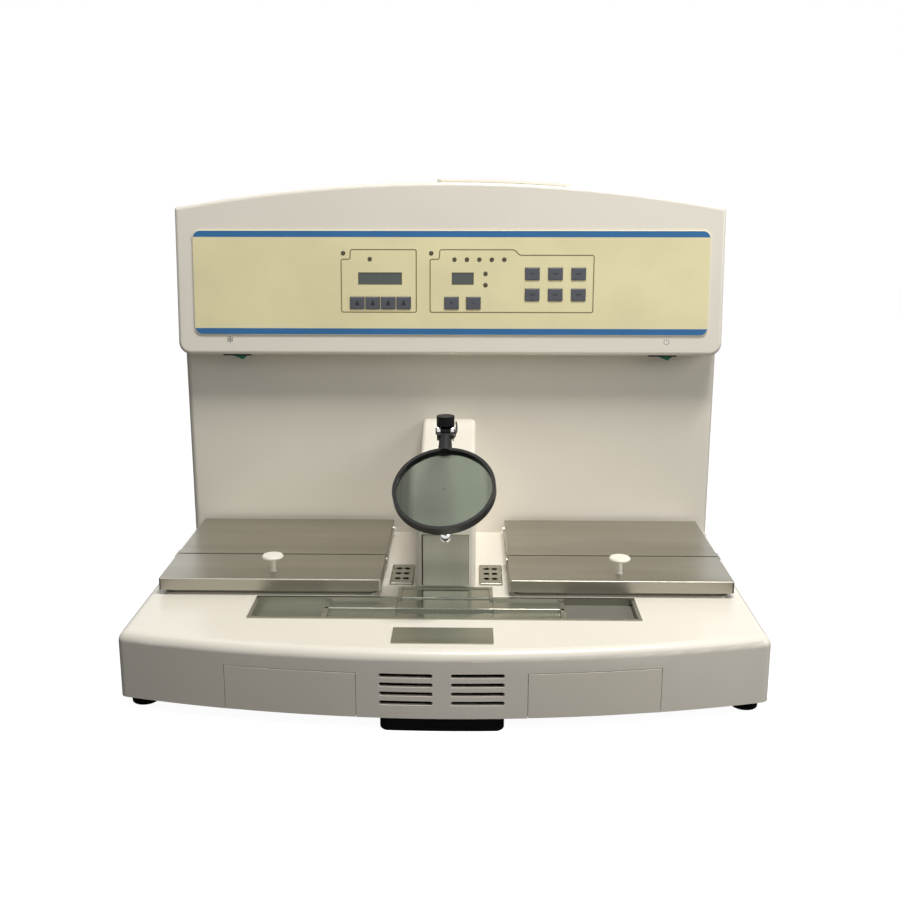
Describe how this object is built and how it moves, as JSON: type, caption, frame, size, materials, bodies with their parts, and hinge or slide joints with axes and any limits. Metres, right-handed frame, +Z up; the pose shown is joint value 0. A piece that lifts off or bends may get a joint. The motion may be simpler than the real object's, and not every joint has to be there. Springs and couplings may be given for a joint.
{
  "type": "tissue embedding station",
  "caption": "Bench-top paraffin embedding station with heated baths under folding lids, work trough, dispenser tower, magnifier, wax drawers and an arched control console.",
  "frame": {"origin": "on the bench under the middle of the station's footprint", "axes": "+X to the station's right as its user faces it, +Y away from the user, +Z up"},
  "size_m": [0.6, 0.56, 0.4788],
  "materials": {
    "shell_paint": "warm off-white gloss paint",
    "stainless": "brushed",
    "bright_metal": "polished",
    "rubber": "matt",
    "panel_film": "cream film with two blue stripes",
    "window": "dark tinted",
    "lamp": "tinted",
    "key": "grey-blue",
    "black_plastic": "black",
    "rocker": "dark green",
    "white_plastic": "white",
    "lens": "clear, greenish",
    "aluminium": "satin",
    "brass": "machined",
    "board": "green laminate",
    "heater": "silicone heater pad"
  },
  "bodies": {
    "station": {"back_housing": "shell_paint", "base_housing": "shell_paint", "base_plate": "stainless", "centre_foot": "rubber", "circuit_board": "board", "cold_plate": "aluminium", "console_housing": "shell_paint", "control_panel": "panel_film", "corner_feet": "rubber", "cover_screws": "bright_metal", "dispenser_valve": "brass", "display_windows": "window", "drawer_rails": "stainless", "fan_frame": "black_plastic", "forceps_wells": "stainless", "heat_sink": "aluminium", "heating_elements": "heater", "indicator_lamps": "lamp", "left_bath": "stainless", "lid_hinge_pins": "bright_metal", "nozzle": "bright_metal", "pan_mat": "rubber", "paraffin_tank": "stainless", "power_inlet": "black_plastic", "power_supply": "stainless", "rear_cover": "shell_paint", "right_bath": "stainless", "switch_bezels": "black_plastic", "tower_housing": "shell_paint", "warm_plate": "aluminium", "work_trough": "stainless"},
    "left_rear_leaf": {"left_lid_rear_leaf": "stainless"},
    "left_front_leaf": {"left_lid_front_leaf": "stainless", "left_lid_knob": "white_plastic"},
    "right_rear_leaf": {"right_lid_rear_leaf": "stainless"},
    "right_front_leaf": {"right_lid_front_leaf": "stainless", "right_lid_knob": "white_plastic"},
    "left_rocker": {"left_switch_rocker": "rocker"},
    "right_rocker": {"right_switch_rocker": "rocker"},
    "left_drawer": {"left_wax_drawer": "white_plastic"},
    "right_drawer": {"right_wax_drawer": "white_plastic"},
    "dispenser_plate": {"push_plate": "stainless"},
    "magnifier_stand": {"magnifier_arm": "black_plastic"},
    "magnifier_head": {"magnifier_ring": "black_plastic", "magnifier_lens": "lens"},
    "magnifier_thumb_knob": {"magnifier_knob": "black_plastic"},
    "cooling_fan": {"fan_rotor": "black_plastic"},
    "tank_lid": {"filler_lid": "shell_paint"},
    "clock_key_1_cap": {"clock_key_1": "key"},
    "clock_key_2_cap": {"clock_key_2": "key"},
    "clock_key_3_cap": {"clock_key_3": "key"},
    "clock_key_4_cap": {"clock_key_4": "key"},
    "set_key_1_cap": {"set_key_1": "key"},
    "set_key_2_cap": {"set_key_2": "key"},
    "function_key_1_cap": {"function_key_1": "key"},
    "function_key_2_cap": {"function_key_2": "key"},
    "function_key_3_cap": {"function_key_3": "key"},
    "function_key_4_cap": {"function_key_4": "key"},
    "function_key_5_cap": {"function_key_5": "key"},
    "function_key_6_cap": {"function_key_6": "key"}
  },
  "joints": [
    {"name": "left_lid_lift", "type": "hinge", "parent": "station", "child": "left_rear_leaf", "pos_m": [-0.175, 0.046, 0.0855], "axis": [-1, 0, 0], "range_deg": [0, 60]},
    {"name": "left_lid_fold", "type": "hinge", "parent": "left_rear_leaf", "child": "left_front_leaf", "pos_m": [-0.175, -0.072, 0.0895], "axis": [-1, 0, 0], "range_deg": [0, 90]},
    {"name": "left_rocker_tilt", "type": "hinge", "parent": "station", "child": "left_rocker", "pos_m": [-0.2365, 0.05, 0.295], "axis": [0, -1, 0], "range_deg": [0, 40]},
    {"name": "left_drawer_slide", "type": "slide", "parent": "station", "child": "left_drawer", "axis": [0, -1, 0], "range_m": [0, 0.12]},
    {"name": "right_lid_lift", "type": "hinge", "parent": "station", "child": "right_rear_leaf", "pos_m": [0.175, 0.046, 0.0855], "axis": [-1, 0, 0], "range_deg": [0, 60]},
    {"name": "right_lid_fold", "type": "hinge", "parent": "right_rear_leaf", "child": "right_front_leaf", "pos_m": [0.175, -0.072, 0.0895], "axis": [-1, 0, 0], "range_deg": [0, 90]},
    {"name": "right_rocker_tilt", "type": "hinge", "parent": "station", "child": "right_rocker", "pos_m": [0.2365, 0.05, 0.295], "axis": [0, -1, 0], "range_deg": [0, 40]},
    {"name": "right_drawer_slide", "type": "slide", "parent": "station", "child": "right_drawer", "axis": [0, -1, 0], "range_m": [0, 0.12]},
    {"name": "clock_key_1_press", "type": "slide", "parent": "station", "child": "clock_key_1_cap", "axis": [0, 0.9961, -0.0877], "range_m": [0, 0.0004], "stiffness_N_per_m": 1500, "springref_m": -0.0002},
    {"name": "clock_key_2_press", "type": "slide", "parent": "station", "child": "clock_key_2_cap", "axis": [0, 0.9961, -0.0877], "range_m": [0, 0.0004], "stiffness_N_per_m": 1500, "springref_m": -0.0002},
    {"name": "clock_key_3_press", "type": "slide", "parent": "station", "child": "clock_key_3_cap", "axis": [0, 0.9961, -0.0877], "range_m": [0, 0.0004], "stiffness_N_per_m": 1500, "springref_m": -0.0002},
    {"name": "clock_key_4_press", "type": "slide", "parent": "station", "child": "clock_key_4_cap", "axis": [0, 0.9961, -0.0877], "range_m": [0, 0.0004], "stiffness_N_per_m": 1500, "springref_m": -0.0002},
    {"name": "set_key_1_press", "type": "slide", "parent": "station", "child": "set_key_1_cap", "axis": [0, 0.9961, -0.0877], "range_m": [0, 0.0004], "stiffness_N_per_m": 1500, "springref_m": -0.0002},
    {"name": "set_key_2_press", "type": "slide", "parent": "station", "child": "set_key_2_cap", "axis": [0, 0.9961, -0.0877], "range_m": [0, 0.0004], "stiffness_N_per_m": 1500, "springref_m": -0.0002},
    {"name": "function_key_1_press", "type": "slide", "parent": "station", "child": "function_key_1_cap", "axis": [0, 0.9961, -0.0877], "range_m": [0, 0.0004], "stiffness_N_per_m": 1500, "springref_m": -0.0002},
    {"name": "function_key_2_press", "type": "slide", "parent": "station", "child": "function_key_2_cap", "axis": [0, 0.9961, -0.0877], "range_m": [0, 0.0004], "stiffness_N_per_m": 1500, "springref_m": -0.0002},
    {"name": "function_key_3_press", "type": "slide", "parent": "station", "child": "function_key_3_cap", "axis": [0, 0.9961, -0.0877], "range_m": [0, 0.0004], "stiffness_N_per_m": 1500, "springref_m": -0.0002},
    {"name": "function_key_4_press", "type": "slide", "parent": "station", "child": "function_key_4_cap", "axis": [0, 0.9961, -0.0877], "range_m": [0, 0.0004], "stiffness_N_per_m": 1500, "springref_m": -0.0002},
    {"name": "function_key_5_press", "type": "slide", "parent": "station", "child": "function_key_5_cap", "axis": [0, 0.9961, -0.0877], "range_m": [0, 0.0004], "stiffness_N_per_m": 1500, "springref_m": -0.0002},
    {"name": "function_key_6_press", "type": "slide", "parent": "station", "child": "function_key_6_cap", "axis": [0, 0.9961, -0.0877], "range_m": [0, 0.0004], "stiffness_N_per_m": 1500, "springref_m": -0.0002},
    {"name": "dispenser_push", "type": "slide", "parent": "station", "child": "dispenser_plate", "axis": [0, 1, 0], "range_m": [0, 0.003], "stiffness_N_per_m": 400, "springref_m": -0.002},
    {"name": "magnifier_swivel", "type": "hinge", "parent": "station", "child": "magnifier_stand", "pos_m": [0, -0.035, 0.2], "axis": [0, 0, 1], "range_deg": [-30, 30]},
    {"name": "magnifier_tilt", "type": "hinge", "parent": "magnifier_stand", "child": "magnifier_head", "pos_m": [0, -0.121, 0.2395], "axis": [-1, 0, 0], "range_deg": [-30, 35]},
    {"name": "magnifier_knob_turn", "type": "hinge", "parent": "magnifier_stand", "child": "magnifier_thumb_knob", "pos_m": [0, -0.121, 0.25], "axis": [0, 0, 1], "continuous": true},
    {"name": "fan_spin", "type": "hinge", "parent": "station", "child": "cooling_fan", "pos_m": [0, -0.217, 0.039], "axis": [0, 1, 0], "continuous": true},
    {"name": "tank_lid_lift", "type": "slide", "parent": "station", "child": "tank_lid", "axis": [0, 0, 1], "range_m": [0, 0.06]}
  ]
}
